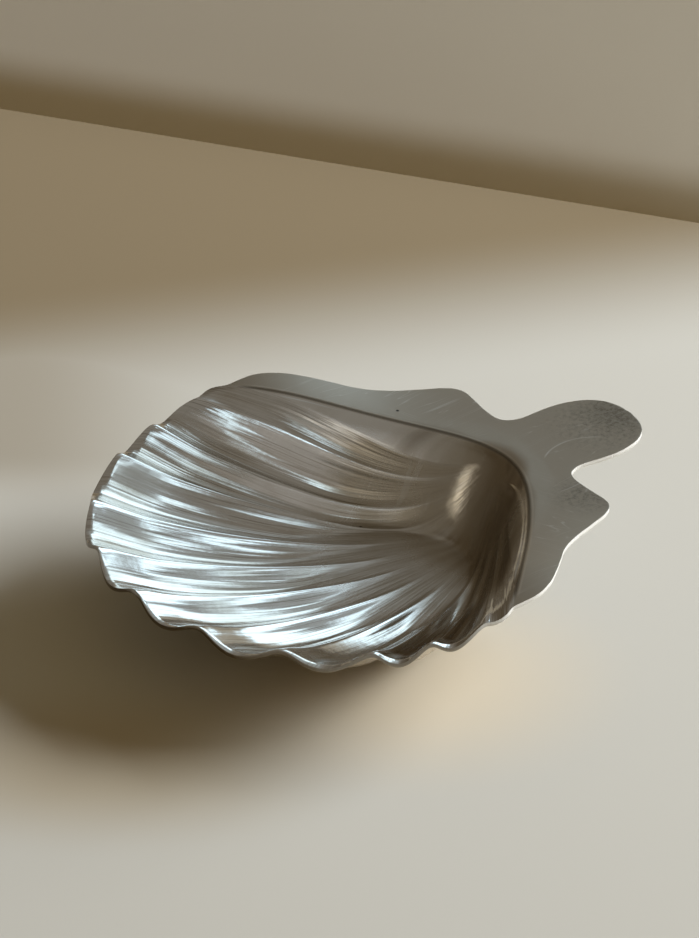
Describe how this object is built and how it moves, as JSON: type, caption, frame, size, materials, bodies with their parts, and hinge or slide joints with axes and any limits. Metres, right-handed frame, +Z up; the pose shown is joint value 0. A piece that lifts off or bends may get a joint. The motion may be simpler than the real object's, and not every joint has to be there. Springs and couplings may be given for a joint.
{
  "type": "scallop trinket dish",
  "caption": "Shallow trinket dish pressed from one sheet: ribbed scallop bowl, smooth hinge hollow, flat eared border and a rounded thumb tab.",
  "frame": {"origin": "centre of the plan outline, on the surface the dish stands on", "axes": "+X to the thumb tab, +Y across the bowl, +Z up"},
  "size_m": [0.123, 0.1058, 0.022],
  "materials": {
    "plate": "worn satin silver plate, polished in the bowl"
  },
  "bodies": {
    "root": {"dish": "plate"}
  },
  "joints": []
}
